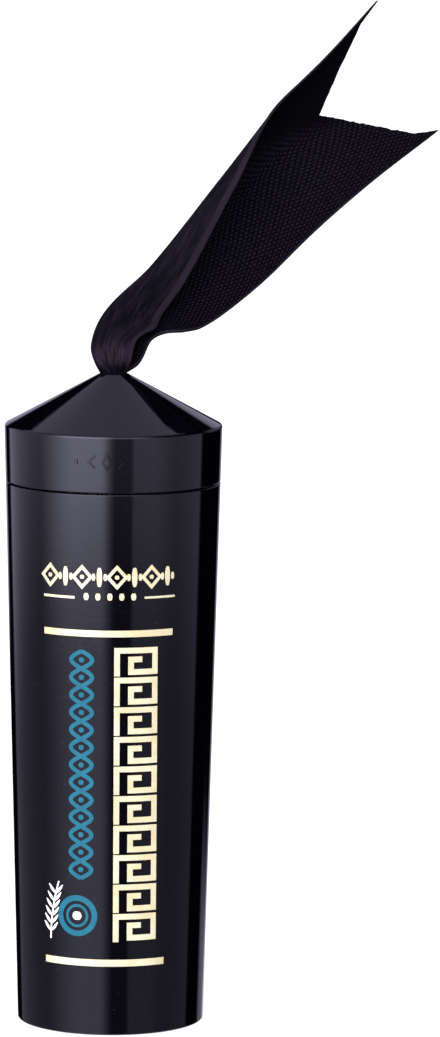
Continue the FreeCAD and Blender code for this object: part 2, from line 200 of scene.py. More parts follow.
class Finish:
    """A procedural finish. node() adds any node: its settings come first, then its sockets."""

    def __init__(self, name, fixed=None):
        self.material = bpy.data.materials.new(name)
        self.material.use_nodes = True
        self.tree = self.material.node_tree
        self.shader = self.tree.nodes["Principled BSDF"]
        for label, value in (fixed or {}).items():
            self.shader.inputs[label].default_value = value

    def connect(self, socket, value):
        if isinstance(value, Wire):
            self.tree.links.new(value.socket, socket)
        else:
            socket.default_value = value

    def node(self, kind, settings, sockets, output=0):
        made = self.tree.nodes.new(kind)
        for label, value in settings.items():
            setattr(made, label, value)
        for label, value in sockets.items():
            self.connect(made.inputs[label], value)
        return Wire(self, made.outputs[output])

    def maths(self, operation, *values):
        return self.node("ShaderNodeMath", {"operation": operation}, dict(enumerate(values)))

    def millimetres(self, stretch=(1, 1, 1)):
        """Object coordinates in millimetres, each multiplied by its stretch."""
        place = self.node("ShaderNodeTexCoord", {}, {}, "Object")
        scale = [s / mm for s in stretch]
        return self.node("ShaderNodeVectorMath", {"operation": "MULTIPLY"}, {0: place, 1: scale})

    def noise(self, vector, scale, detail=2.0, roughness=0.5):
        sockets = {"Vector": vector, "Scale": scale, "Detail": detail, "Roughness": roughness}
        return self.node("ShaderNodeTexNoise", {}, sockets, "Fac")

    def rise(self, value, low, high):
        """0 below low, 1 above high, and a smooth step between."""
        sockets = {"Value": value, "From Min": low, "From Max": high}
        return self.node("ShaderNodeMapRange", {"interpolation_type": "SMOOTHSTEP"}, sockets)

    def blend(self, factor, first, second):
        """Colour mix: first where the factor is 0, second where it is 1."""
        sockets = {"Factor": factor, 6: first, 7: second}
        return self.node("ShaderNodeMix", {"data_type": "RGBA"}, sockets, 2)

    def relief(self, height, depth):
        """Bump from a height of 0 to 1, for a depth in metres."""
        sockets = {"Height": height, "Strength": 1.0, "Distance": depth}
        self.set("Normal", self.node("ShaderNodeBump", {}, sockets))

    def set(self, label, value):
        self.connect(self.shader.inputs[label], value)

    def put_on(self, *pieces):
        for piece in pieces:
            piece.data.materials.clear()
            piece.data.materials.append(self.material)


def lacquer():
    """Piano-black lacquer: long shallow waves, a fine orange peel, and a haze of rubbing marks."""
    black, dust = (0.0003, 0.0003, 0.0009, 1), (0.010, 0.009, 0.014, 1)
    finish = Finish("piano_black_lacquer", {"IOR": 1.5})
    long_wave = finish.noise(finish.millimetres((1, 1, 0.12)), 0.16, 1)
    peel = finish.noise(finish.millimetres(), 1.6, 1)
    rubbed = finish.noise(finish.millimetres((0.35, 0.35, 3)), 1.3, 4, 0.6)
    speck = finish.rise(finish.noise(finish.millimetres(), 5.5, 0), 0.80, 0.86)
    finish.set("Base Color", finish.blend(speck, black, dust))
    finish.set("Roughness", 0.055 + 0.05 * finish.rise(rubbed, 0.45, 0.8) + 0.2 * speck)
    finish.relief(long_wave + 0.03 * peel, 0.018 * mm)
    return finish


black_lacquer = lacquer()
case = turned("case", [
    (0, recess_depth),
    (recess_radius, recess_depth, small_round),
    (recess_radius, 0, small_round),
    (foot_radius, 0, foot_round),
    (seam_radius, case_height, rim_round),
    (ledge_radius, case_height, rim_round),
    (ledge_radius, ledge_height, small_round),
    (bore_mouth_radius, ledge_height, small_round),
    (bore_foot_radius, case_floor, case_floor_round),
    (0, case_floor),
])
black_lacquer.put_on(case)
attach(case, "case")
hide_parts("case_shell")


# ---- Liner and label ----
# The liner is a cup moulded in satin black plastic, hung on the case's ledge by its flange.
# The label is a blank round of cream film, stuck in the foot's recess.


def moulded(name, colour, roughness, grain=2.2, depth=0.006):
    """Moulded plastic: a fine spark-eroded grain, with faint flow marks along the tool's draw."""
    finish = Finish(name, {"IOR": 1.48})
    flow = finish.noise(finish.millimetres((1, 1, 0.15)), 0.7, 3)
    sparks = finish.noise(finish.millimetres(), grain * 3, 2)
    pale = tuple(min(c * 1.35 + 0.004, 1) for c in colour[:3]) + (1,)
    finish.set("Base Color", finish.blend(finish.rise(flow, 0.35, 0.7), colour, pale))
    finish.set("Roughness", roughness + 0.12 * finish.rise(sparks, 0.3, 0.7))
    finish.relief(sparks + 0.6 * flow, depth * mm)
    return finish


def cream_film():
    """Blank cream film: a satin face with a fine paper tooth, and a plain printed border ring."""
    border_radius, border_width, edge = 6.6, 0.14, 0.03    # mm
    cream, aged_cream = (0.72, 0.69, 0.60, 1), (0.66, 0.63, 0.54, 1)
    ring_ink = (0.05, 0.048, 0.05, 1)
    finish = Finish("cream_label_film", {"IOR": 1.45})
    place = finish.millimetres((1, 1, 0))
    radius = finish.node("ShaderNodeVectorMath", {"operation": "LENGTH"}, {0: place}, "Value")
    inner, outer = border_radius - border_width / 2, border_radius + border_width / 2
    outside = finish.rise(radius, outer, outer + edge)
    border = finish.rise(radius, inner - edge, inner) * (1 - outside)
    tooth = finish.noise(place, 9, 3)
    film = finish.blend(finish.rise(tooth, 0.3, 0.7), cream, aged_cream)
    finish.set("Base Color", finish.blend(border, film, ring_ink))
    finish.set("Roughness", 0.38 + 0.2 * tooth)
    finish.relief(tooth, 0.004 * mm)
    return finish


liner_plastic = moulded("liner_plastic", (0.012, 0.012, 0.014, 1), 0.34)
liner_plastic.put_on(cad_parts["case_liner"])
label_film = cream_film()
label_film.put_on(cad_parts["base_label"])


# ---- Prints on the case ----
# Hot-stamped foil and screen-printed ink on the lacquer, each a film a few hundredths of a
# millimetre thick: four foil rules, a frieze, two upright bands, and a roundel with a sprig.

film_lift = 0.018 * mm
film_sink = 0.006 * mm    # how far the film's foot reaches into the wall
film_step = 0.35 * mm     # longest straight piece of a stroke


def wall(across, height, lift):
    """Point on the case's wall: across is the way round it, from the front, at that height."""
    radius = foot_radius + taper * height
    angle = across / radius
    reach = radius + lift
    return np.stack([reach * np.sin(angle), -reach * np.cos(angle), height + 0 * reach], axis=-1)


def stroke(path, half_width, closed=False, lift=film_lift, sink=film_sink, crown=0.94):
    """Points and faces of a flat stroke along a path of (across, height), laid on the wall.

    The path is cut into short steps. Each step's edges lie half a width to its left and right,
    further at a corner by 1 / cos(half the corner's turn). The section is a low trapezium, whose
    top is the crown's share of its foot.
    """
    path = np.asarray(path, float)
    half_width = np.broadcast_to(half_width, len(path)).astype(float)
    if closed:
        path = np.concatenate([path, path[:1]])
        half_width = np.append(half_width, half_width[0])
    length = np.append(0, np.cumsum(np.linalg.norm(np.diff(path, axis=0), axis=1)))
    marks = [np.linspace(a, b, max(int((b - a) / film_step), 1), endpoint=False)
             for a, b in zip(length, length[1:])]
    marks = np.concatenate(marks + ([] if closed else [length[-1:]]))
    line = np.stack([np.interp(marks, length, path[:, k]) for k in (0, 1)], axis=1)
    half = np.interp(marks, length, half_width)
    way = np.roll(line, -1, 0) - line
    way = way / np.maximum(np.linalg.norm(way, axis=1, keepdims=True), 1e-12)
    before = np.roll(way, 1, 0)
    if not closed:
        way[-1], before[0] = way[-2], way[0]
    side = np.stack([-(way + before)[:, 1], (way + before)[:, 0]], axis=1)
    side /= np.linalg.norm(side, axis=1, keepdims=True)
    stretch = 1 / np.maximum(side[:, 0] * -way[:, 1] + side[:, 1] * way[:, 0], 0.5)
    reach = np.array([-1, -crown, 0, crown, 1, 0])
    rise = np.array([-sink, lift, lift, lift, -sink, -sink])
    across = line[:, None, 0] + side[:, None, 0] * (half * stretch)[:, None] * reach
    height = line[:, None, 1] + side[:, None, 1] * (half * stretch)[:, None] * reach
    points = wall(across, height, rise)
    rows, ring = points.shape[:2]
    index = np.arange(rows * ring).reshape(rows, ring)
    low = index if closed else index[:-1]
    high = np.roll(index, -1, 0) if closed else index[1:]
    quads = np.stack([low, high, np.roll(high, -1, 1), np.roll(low, -1, 1)], axis=-1)
    faces = quads.reshape(-1, 4).tolist()
    if not closed:
        faces += [index[0].tolist(), index[-1, ::-1].tolist()]
    return points.reshape(-1, 3), faces


def printed(name, strokes, finish, body="case"):
    """One print: all its strokes in one mesh that rides on a body."""
    points, faces, count = [], [], 0
    for stroke_points, stroke_faces in strokes:
        faces += [[count + corner for corner in face] for face in stroke_faces]
        points.append(stroke_points)
        count += len(stroke_points)
    piece = piece_from(name, np.concatenate(points), faces)
    piece.data.set_sharp_from_angle(angle=math.radians(35))
    finish.put_on(piece)
    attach(piece, body)


def foil():
    """Pale gold hot-stamped foil: bright metal under a thin wash, with a fine crushed grain."""
    gold, cream = (0.71, 0.61, 0.31, 1), (0.76, 0.71, 0.43, 1)
    finish = Finish("pale_gold_foil", {"IOR": 1.5})
    crush = finish.noise(finish.millimetres(), 7, 3)
    cloud = finish.noise(finish.millimetres(), 0.5, 2)
    wash = finish.rise(cloud + 0.3 * crush, 0.45, 0.85)
    finish.set("Base Color", finish.blend(wash, gold, cream))
    finish.set("Metallic", 0.3 + 0.15 * crush)
    finish.set("Roughness", 0.26 + 0.14 * crush)
    finish.relief(crush, 0.010 * mm)
    return finish


def ink(name, colour, deep):
    """Screen-printed ink: an even satin film, thinner and darker where the mesh held it back."""
    finish = Finish(name, {"IOR": 1.48, "Specular IOR Level": 0.3})
    mesh_marks = finish.noise(finish.millimetres(), 10, 2)
    cloud = finish.noise(finish.millimetres(), 0.8, 2)
    cover = finish.rise(mesh_marks + cloud, 0.85, 1.25)
    finish.set("Base Color", finish.blend(cover, deep, colour))
    finish.set("Roughness", 0.32 + 0.2 * mesh_marks)
    finish.relief(mesh_marks, 0.006 * mm)
    return finish


def lozenge(across, height, wide, tall, thick):
    """Lozenge ring: a closed stroke through its four corners."""
    corners = [(across + wide, height), (across, height + tall),
               (across - wide, height), (across, height - tall)]
    return stroke(np.array(corners), thick / 2, closed=True)


def blob(across, height, wide, tall, points=17):
    """Filled lens or dot: an upright stroke whose half-width follows a half circle's height."""
    share = np.linspace(-1, 1, points)[1:-1]
    path = np.stack([across + 0 * share, height + tall * share], axis=1)
    return stroke(path, wide * np.sqrt(1 - share**2))


def ring(across, height, radius, thick):
    """Round ring: a closed stroke round a circle."""
    angle = np.arange(40) / 40 * 2 * math.pi
    path = np.stack([across + radius * np.cos(angle), height + radius * np.sin(angle)], axis=1)
    return stroke(path, thick / 2, closed=True)


def key_band(left, right, low, high, repeats, thick):
    """Upright running key: one hooked square per repeat, joined along its left edge."""
    unit = (high - low) / repeats
    foot, middle, top = unit * 0.14, unit * 0.56, unit * 0.86
    inset = thick * 1.9
    inside, hook_end = left + inset * 1.25, right - inset * 1.2
    hook = np.array([
        (left, 0), (left, top), (right, top), (right, foot),
        (inside, foot), (inside, middle), (hook_end, middle),
    ])
    return [stroke(hook + (0, low + k * unit), thick / 2) for k in range(repeats)]


def guilloche(middle, reach, low, high, repeats, thick):
    """Two strands that cross, and a dot in each eye between them.

    One strand is across = middle + reach * sin(turns), and the other is the same the other way.
    """
    turns = np.linspace(0, math.pi * repeats, repeats * 16 + 1)
    height = low + (high - low) * turns / turns[-1]
    strokes = []
    for hand in (1, -1):
        path = np.stack([middle + hand * reach * np.sin(turns), height], axis=1)
        strokes.append(stroke(path, thick / 2))
    for k in range(repeats):
        eye = low + (high - low) / repeats * (k + 0.5)
        strokes.append(blob(middle, eye, 0.3 * mm, 0.3 * mm))
    return strokes


pale_gold = foil()
rules = []
# Left end, right end, height and half the width of each rule, in mm.
for left, right, height, half in ((-7.53, 6.86, 42.9, 0.36), (-7.3, 6.05, 7.78, 0.38),
                                  (-7.57, -3.86, 46.66, 0.14), (3.57, 7.1, 46.69, 0.12)):
    rules.append(stroke([(left * mm, height * mm), (right * mm, height * mm)], half * mm))
printed("print_rules", rules, pale_gold)

frieze_height = 48.87 * mm
frieze_first, frieze_pitch = -6.75, 1.85    # mm
lobe_aside = 0.62 * mm
dots_height = 46.81 * mm
dots_first, dots_pitch = -2.6, 1.25    # mm
frieze = []
for k in range(8):
    middle = (frieze_first + frieze_pitch * k) * mm
    if k % 2 == 0:
        frieze.append(lozenge(middle, frieze_height, 0.95 * mm, 1.05 * mm, 0.36 * mm))
        frieze.append(blob(middle, frieze_height, 0.24 * mm, 0.24 * mm))
    else:
        frieze.append(blob(middle, frieze_height, 0.30 * mm, 1.15 * mm))
        for aside in (-lobe_aside, lobe_aside):
            frieze.append(blob(middle + aside, frieze_height, 0.20 * mm, 0.42 * mm))
for k in range(5):
    middle = (dots_first + dots_pitch * k) * mm
    frieze.append(blob(middle, dots_height, 0.28 * mm, 0.42 * mm))
printed("print_frieze", frieze, pale_gold)

keys = key_band(left=0.69 * mm, right=4.78 * mm, low=10.05 * mm, high=41.57 * mm,
                repeats=10, thick=0.62 * mm)
printed("print_key_band", keys, pale_gold)

roundel = (-3.46 * mm, 12.76 * mm)
teal_ink = ink("teal_ink", (0.004, 0.118, 0.150, 1), (0.003, 0.095, 0.120, 1))
teal = guilloche(middle=-3.07 * mm, reach=1.15 * mm, low=16.8 * mm, high=41.02 * mm,
                 repeats=13, thick=0.46 * mm)
teal.append(ring(*roundel, 1.9 * mm, 0.62 * mm))
teal.append(ring(*roundel, 1.1 * mm, 0.3 * mm))
printed("print_guilloche", teal, teal_ink)

white_ink = ink("white_ink", (0.87, 0.85, 0.74, 1), (0.79, 0.77, 0.67, 1))
stem_turn = np.linspace(0, 1, 24)
stem = np.stack([-6.6 + 1.0 * stem_turn**2, 10.04 + 6.24 * stem_turn], axis=1)
leaf = np.linspace(0, 1, 9)
leaf_width = 0.16 * mm * np.sin(math.pi * (0.08 + 0.84 * leaf))
sprig = [stroke(stem * mm, 0.09 * mm), blob(*roundel, 0.5 * mm, 0.5 * mm)]
for k in range(6):
    foot = stem[3 + 3 * k]
    for hand in (-1, 1):
        across, height = foot[0] + hand * 0.85 * leaf, foot[1] + 0.75 * leaf + 0.25 * leaf**2
        sprig.append(stroke(np.stack([across, height], axis=1) * mm, leaf_width))
printed("print_sprig", sprig, white_ink)


# ---- Kohl, its carrier and the wind-up mechanism ----
# The kohl is a pressed stick of wax and pigment with a cone tip. Its cup, the slotted guide and
# the cam are natural and black mouldings, and a soft ring between them gives the turn its drag.

kohl_low, kohl_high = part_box("kohl_stick")
kohl_radius = kohl_high[0]
kohl_shoulder = kohl_low[2] + 8.5 * mm
kohl_shoulder_round = 6 * mm
kohl_tip_radius = 0.45 * mm
kohl_tip_round = 0.3 * mm


def pressed_kohl():
    """Black wax and pigment: soft satin, with fine rings from the mould and a dusty bloom."""
    black, bloom = (0.006, 0.006, 0.008, 1), (0.022, 0.021, 0.024, 1)
    finish = Finish("pressed_kohl", {"IOR": 1.42, "Sheen Weight": 0.15, "Sheen Roughness": 0.5})
    pigment = finish.noise(finish.millimetres(), 6, 4, 0.6)
    drag = finish.noise(finish.millimetres((1, 1, 0.1)), 3.2, 2)
    dusty = finish.rise(pigment + 0.4 * drag, 0.6, 1.0)
    finish.set("Base Color", finish.blend(dusty, black, bloom))
    finish.set("Roughness", 0.42 + 0.25 * pigment)
    finish.relief(pigment + 0.7 * drag, 0.02 * mm)
    return finish


kohl = turned("kohl", [
    (0, kohl_low[2]),
    (kohl_tip_radius, kohl_low[2], kohl_tip_round),
    (kohl_radius, kohl_shoulder, kohl_shoulder_round),
    (kohl_radius, kohl_high[2], small_round),
    (0, kohl_high[2]),
], turns=96)
kohl_finish = pressed_kohl()
kohl_finish.put_on(kohl)
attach(kohl, "carrier")
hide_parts("kohl_stick")

natural_plastic = moulded("natural_plastic", (0.76, 0.75, 0.70, 1), 0.38)
natural_plastic.put_on(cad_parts["cam_sleeve"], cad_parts["guide_tube"],
                       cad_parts["knot_washer"])
carrier_plastic = moulded("carrier_plastic", (0.020, 0.020, 0.022, 1), 0.40)
carrier_plastic.put_on(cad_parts["carrier_cup"])
ring_rubber = moulded("ring_rubber", (0.018, 0.018, 0.018, 1), 0.62, 4, 0.012)
ring_rubber.put_on(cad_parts["torque_ring"])


# ---- Outer sleeve ----
# Drawn aluminium tube, anodised pale gold, with its foot turned in round the kohl's mouth. It
# was brushed in a lathe, so the brush marks and two shallow rolled lines run round it.

sleeve_low, sleeve_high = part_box("outer_sleeve")
sleeve_radius = sleeve_high[0]
sleeve_wall = 0.5 * mm
sleeve_mouth = 4.92 * mm
sleeve_lip = 0.6 * mm
foot_turn = 0.7 * mm
edge_round = 0.15 * mm
rolled_lines = (4.2 * mm, 5.0 * mm)    # below the head's rim
rolled_depth = 0.05 * mm
rolled_width = 0.16 * mm


def anodised():
    """Pale gold anodised aluminium: brush marks round the tube, and faint rubs down it."""
    gold, deep = (0.83, 0.66, 0.38, 1), (0.72, 0.52, 0.27, 1)
    finish = Finish("pale_gold_anodised", {"Metallic": 1.0, "Anisotropic": 0.5})
    brushed = finish.noise(finish.millimetres((0.12, 0.12, 9)), 2.0, 4, 0.6)
    rubbed = finish.noise(finish.millimetres((2.2, 2.2, 0.15)), 1.0, 3)
    shade = finish.rise(0.7 * brushed + 0.5 * rubbed, 0.4, 0.85)
    finish.set("Base Color", finish.blend(shade, deep, gold))
    finish.set("Roughness", 0.22 + 0.14 * brushed + 0.08 * finish.rise(rubbed, 0.5, 0.8))
    finish.relief(brushed, 0.004 * mm)
    return finish


def sleeve_corners():
    """Outline of the sleeve, with a shallow V for each rolled line below its top."""
    corners = [
        (sleeve_mouth, sleeve_low[2], edge_round),
        (sleeve_radius, sleeve_low[2], foot_turn),
    ]
    for drop in reversed(rolled_lines):
        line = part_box("head_shell")[0][2] - drop
        corners += [(sleeve_radius, line - rolled_width, small_round),
                    (sleeve_radius - rolled_depth, line, small_round),
                    (sleeve_radius, line + rolled_width, small_round)]
    return corners + [
        (sleeve_radius, sleeve_high[2], edge_round),
        (sleeve_radius - sleeve_wall, sleeve_high[2], edge_round),
        (sleeve_radius - sleeve_wall, sleeve_low[2] + sleeve_lip, small_round),
        (sleeve_mouth, sleeve_low[2] + sleeve_lip, edge_round),
    ]


sleeve = turned("sleeve", sleeve_corners(), closed=True)
sleeve_finish = anodised()
sleeve_finish.put_on(sleeve)
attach(sleeve, "sleeve")
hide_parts("outer_sleeve")


# ---- Head ----
# Hollow cone moulded and lacquered as the case is, whose skirt carries on the case's taper. The
# stick's plug is glued in under it. Four small plain marks stand up from the skirt's front.

head_low, head_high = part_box("head_shell")
rim_height = head_low[2]
tip_height = head_high[2]
crease_height = 63.62 * mm
crease_radius = foot_radius + taper * crease_height
crease_round = 0.4 * mm
tip_radius = 1.55 * mm
hole_radius = 1.35 * mm
landing_height = 66.71 * mm
landing_radius = 3.0 * mm
head_bore = 10.04 * mm
plug_ledge = 9.44 * mm
plug_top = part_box("head_insert")[1][2]
cone_rise = math.tan(math.radians(28.28))

head = turned("head", [
    (head_bore, rim_height, small_round),
    (foot_radius + taper * rim_height, rim_height, rim_round),
    (crease_radius, crease_height, crease_round),
    (tip_radius, tip_height, rim_round),
    (hole_radius, tip_height, small_round),
    (hole_radius, landing_height, small_round),
    (landing_radius, landing_height, small_round),
    (plug_ledge, landing_height + (landing_radius - plug_ledge) * cone_rise, small_round),
    (plug_ledge, plug_top, small_round),
    (head_bore, plug_top, small_round),
], closed=True)
black_lacquer.put_on(head)
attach(head, "head")
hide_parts("head_shell")

plug_plastic = moulded("plug_plastic", (0.014, 0.014, 0.016, 1), 0.30)
plug_plastic.put_on(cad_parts["head_insert"])

mark_height = 60.96 * mm
mark_first = -3.73 * mm
mark_pitch = 1.63 * mm
mark_line = 0.13 * mm    # half the width of a mark's line


def chevron(across, hand):
    """Raised V on its side, open towards the hand it is given."""
    open_end = across + hand * 0.38 * mm
    return [(open_end, mark_height + 0.68 * mm), (across - hand * 0.3 * mm, mark_height),
            (open_end, mark_height - 0.68 * mm)]


def raised_marks():
    """Short upright, chevron, lozenge and chevron, each a low rounded ridge on the skirt."""
    ridge = dict(lift=0.10 * mm, sink=0.03 * mm, crown=0.45)
    upright = [(mark_first, mark_height + rise * mm) for rise in (0.24, 0, -0.24)]
    centre = mark_first + 2 * mark_pitch
    corners = [(centre + 0.46 * mm, mark_height), (centre, mark_height + 0.78 * mm),
               (centre - 0.46 * mm, mark_height), (centre, mark_height - 0.78 * mm)]
    return [
        stroke(upright, 0.2 * mm, **ridge),
        stroke(chevron(mark_first + mark_pitch, 1), mark_line, **ridge),
        stroke(corners, mark_line, closed=True, **ridge),
        stroke(chevron(mark_first + 3 * mark_pitch, -1), mark_line, **ridge),
    ]


printed("skirt_marks", raised_marks(), black_lacquer, body="head")


# ---- Ribbon ----
# Black satin ribbon, woven with a long-float face and a speckled back. It is knotted inside the
# head, drawn through the tip's hole, and folded over on itself along its length.

ribbon_width = 15 * mm
ribbon_thickness = 0.3 * mm
sections, threads = 230, 130
fray = 0.07 * mm

# Cross-sections from the hole to the tails. Lengths in mm, angles in degrees: the fold's left
# side and height from the tip, the ribbon's run, the front flap's length and turn, the fold's
# radius and turn, the far layer's turn and last heading, its setback, spread and thickness.
folded = np.array([
    [-1.07, 0.05, 90, 1.3, 80, 1.0, 150, 75, 38, 0.0, 0.38, 2.0],
    [-1.92, 1.34, 85.41, 3.0, 40, 0.8, 140, 55.49, 28, 0.6, 0.61, 1.6],
    [-2.29, 2.71, 96.9, 4.0, 30, 0.8, 145, 49, 24.77, 1.6, 0.8, 1.3],
    [-1.62, 4.98, 85.12, 5.4, 25, 0.7, 150, 40, 25.78, 3.4, 1.06, 1.1],
    [-0.1, 6.97, 75.03, 4.7, 20, 0.6, 145, 57.44, 32.79, 5.5, 1.07, 1.0],
    [3.84, 10.51, 66.96, 3.3, 15, 0.7, 130, 86.18, 47.38, 8.6, 1.03, 1.0],
    [11.24, 19.64, 48.84, 1.1, 10, 1.0, 120, 87.71, 47.93, 12.8, 1.0, 1.0],
    [19.33, 29.5, 43.22, 0.5, 5, 2.05, 62.44, 29.75, 46.2, 21.5, 1.0, 1.0],
    [31.41, 41.99, 44.74, 0.5, 5, 1.54, 28.47, 3, -0.62, 30.5, 1.02, 1.0],
])
# The cut's two sides from the notch out to past the tails: across and height from the tip.
long_side = np.array([[21.66, 25.85], [26.14, 35.48], [28.54, 38.64], [33.38, 45.01]]) * mm
short_side = np.array([[21.66, 25.85], [31.96, 23.97], [35.15, 24.39], [43.08, 25.43]]) * mm


def section_at(share):
    """Cross-section at a share of the fold's length: a cubic with matched slopes through them."""
    marks = np.append(0, np.cumsum(np.hypot(*np.diff(folded[:, :2], axis=0).T)))
    slopes = np.concatenate([
        [(folded[1] - folded[0]) / (marks[1] - marks[0])],
        (folded[2:] - folded[:-2]) / (marks[2:] - marks[:-2])[:, None],
        [(folded[-1] - folded[-2]) / (marks[-1] - marks[-2])],
    ])
    mark = share * marks[-1]
    k = np.clip(np.searchsorted(marks, mark, "right") - 1, 0, len(marks) - 2)
    span = (marks[k + 1] - marks[k])[..., None]
    u = (mark - marks[k])[..., None] / span
    return ((2 * u**3 - 3 * u**2 + 1) * folded[k] + (3 * u**2 - 2 * u**3) * folded[k + 1]
            + (u**3 - 2 * u**2 + u) * span * slopes[k] + (u**3 - u**2) * span * slopes[k + 1])


def arc_step(radius, heading, turn):
    """Way gone across and towards the viewer along an arc that starts at a heading."""
    return radius * np.stack([np.sin(heading + turn) - np.sin(heading),
                              np.cos(heading) - np.cos(heading + turn)])


def cloth(share, weft):
    """Middle of the cloth at a share of its length and a share of its width, and its bulk.

    A cross-section is three arcs that follow each other smoothly: the flap, the fold and the far
    layer. Seen from the front it stands square to the ribbon's run, with the fold's outer side
    where it is told.
    """
    told = np.moveaxis(section_at(share), -1, 0)
    left, up, run, flap, curl, fold, turn, bend, end, back, spread, bulk = told
    left, up, flap, fold, back = (value * mm for value in (left, up, flap, fold, back))
    run, curl, turn, bend, end = (np.radians(value) for value in (run, curl, turn, bend, end))
    heading = end - bend - turn - curl
    flap_end = arc_step(flap / curl, heading, curl)
    fold_left = flap_end[0] - fold * (np.sin(heading + curl) + 1)
    fold_near = flap_end[1] + arc_step(fold, heading + curl, turn / 2)[1]
    along = weft * ribbon_width * spread
    place = 0
    for length, arc_turn in ((flap, curl), (fold * turn, turn),
                             (ribbon_width * spread - flap - fold * turn, bend)):
        gone = arc_turn * np.clip(along / length, 0, 1)
        place = place + arc_step(length / arc_turn, heading, gone)
        along = along - length
        heading = heading + arc_turn
    sideways = place[0] - fold_left
    return np.stack([left + np.sin(run) * sideways, back + fold_near - place[1],
                     tip_height + up - np.cos(run) * sideways], axis=-1), bulk


def cut_share(weft):
    """Share of the fold's length at which each thread meets the swallow-tail cut.

    A point lies beyond the cut where it is right of the long side's line and above the short
    side's. Both lines start at the notch and bend once. The scissors leave the threads a little
    uneven.
    """
    share = np.linspace(0.5, 1, 400)[:, None] + 0 * weft
    place = cloth(share, weft + 0 * share)[0]
    across, up = place[..., 0], place[..., 2] - tip_height
    beyond = np.minimum(across - np.interp(up, long_side[:, 1], long_side[:, 0]),
                        up - np.interp(across, short_side[:, 0], short_side[:, 1]))
    first = np.argmax(beyond > 0, axis=0)
    first = np.where(first == 0, len(share) - 1, first)
    column = np.arange(len(weft))
    before, after = beyond[first - 1, column], beyond[first, column]
    part = np.clip(-before / np.where(after - before == 0, 1, after - before), 0, 1)
    met = share[first - 1, column] + part * (share[1, 0] - share[0, 0])
    uneven = np.random.default_rng(7).normal(0, 1, len(weft))
    fold_length = 50 * mm
    return met + fray / fold_length * np.convolve(uneven, [0.25, 0.5, 0.25], "same")


def across_surface(grid):
    """Unit normals of a grid of points: the cross product of its two directions' steps."""
    normal = np.cross(np.gradient(grid, axis=0), np.gradient(grid, axis=1))
    return normal / np.maximum(np.linalg.norm(normal, axis=-1, keepdims=True), 1e-12)


weft = np.linspace(0, 1, threads)
share = np.linspace(0, 1, sections)[:, None] * cut_share(weft)
middle, bulk = cloth(share, weft + 0 * share)
steps = np.linalg.norm(np.diff(middle, axis=0), axis=-1)
run_length = np.concatenate([np.zeros((1, threads)), np.cumsum(steps, axis=0)])
across_length = weft * ribbon_width + 0 * run_length

# Gathered pleats run up from the hole and die away, and a slow ripple follows the selvedges.
pleats = 0.04 * mm * np.exp(-run_length / (3 * mm)) * (
    np.cos(across_length / (0.24 * mm) + 0.6) + 0.6 * np.cos(across_length / (0.41 * mm) + 2))
ripple = 0.05 * mm * np.sin(run_length / (2.6 * mm)) * (2 * weft - 1)**6
middle = middle + across_surface(middle) * (pleats + ripple)[..., None]
normal = across_surface(middle)
half = (ribbon_thickness / 2 * bulk)[..., None]
edge_way = middle[:, [-1, 0]] - middle[:, [-2, 1]]
edge_way = edge_way / np.linalg.norm(edge_way, axis=-1, keepdims=True)
selvedge = middle[:, [-1, 0]] + edge_way * half[:, [-1, 0]] * 0.7
loop = np.concatenate([middle + normal * half, selvedge[:, :1],
                       (middle - normal * half)[:, ::-1], selvedge[:, 1:]], axis=1)
loop_weft = np.concatenate([weft, [1], weft[::-1], [0]])
turn_count = loop.shape[1]
index = np.arange(sections * turn_count).reshape(sections, turn_count)
low, high = index[:-1], index[1:]
quads = np.stack([low, high, np.roll(high, -1, 1), np.roll(low, -1, 1)], axis=-1).reshape(-1, 4)
outer, inner = np.arange(threads), 2 * threads - np.arange(threads)
end_strip = np.stack([outer[:-1], outer[1:], inner[1:], inner[:-1]], axis=1)
end_corners = np.array([[outer[0], inner[0], turn_count - 1], [outer[-1], threads, inner[-1]]])
top = index[-1, 0]
faces = (quads.tolist() + end_strip.tolist() + end_corners.tolist()
         + (end_strip[:, ::-1] + top).tolist() + (end_corners[:, ::-1] + top).tolist())
ribbon = piece_from("satin_ribbon", loop, faces)

loop_run = run_length[:, np.concatenate([outer, [threads - 1], outer[::-1], [0]])]
cloth_place = np.stack([loop_weft * ribbon_width + 0 * index, loop_run], axis=-1) / mm
corners = np.empty(len(ribbon.data.loops), dtype=np.int32)
ribbon.data.loops.foreach_get("vertex_index", corners)
ribbon_map = ribbon.data.uv_layers.new(name="cloth_mm")
ribbon_map.data.foreach_set("uv", cloth_place.reshape(-1, 2)[corners].astype(np.float32).ravel())
around_loop = np.arange(turn_count)
on_back = np.tile((around_loop > threads) & (around_loop < 2 * threads), sections - 1)
sides = np.concatenate([on_back, np.zeros(len(faces) - len(quads), bool)]).astype(np.int32)


def weave(name, fixed):
    """Start of a cloth finish, with its place across and along the ribbon in millimetres."""
    finish = Finish(name, fixed)
    place = finish.node("ShaderNodeUVMap", {"uv_map": "cloth_mm"}, {})
    across = finish.node("ShaderNodeSeparateXYZ", {}, {0: place}, 0)
    along = finish.node("ShaderNodeSeparateXYZ", {}, {0: place}, 1)
    return finish, place, across, along


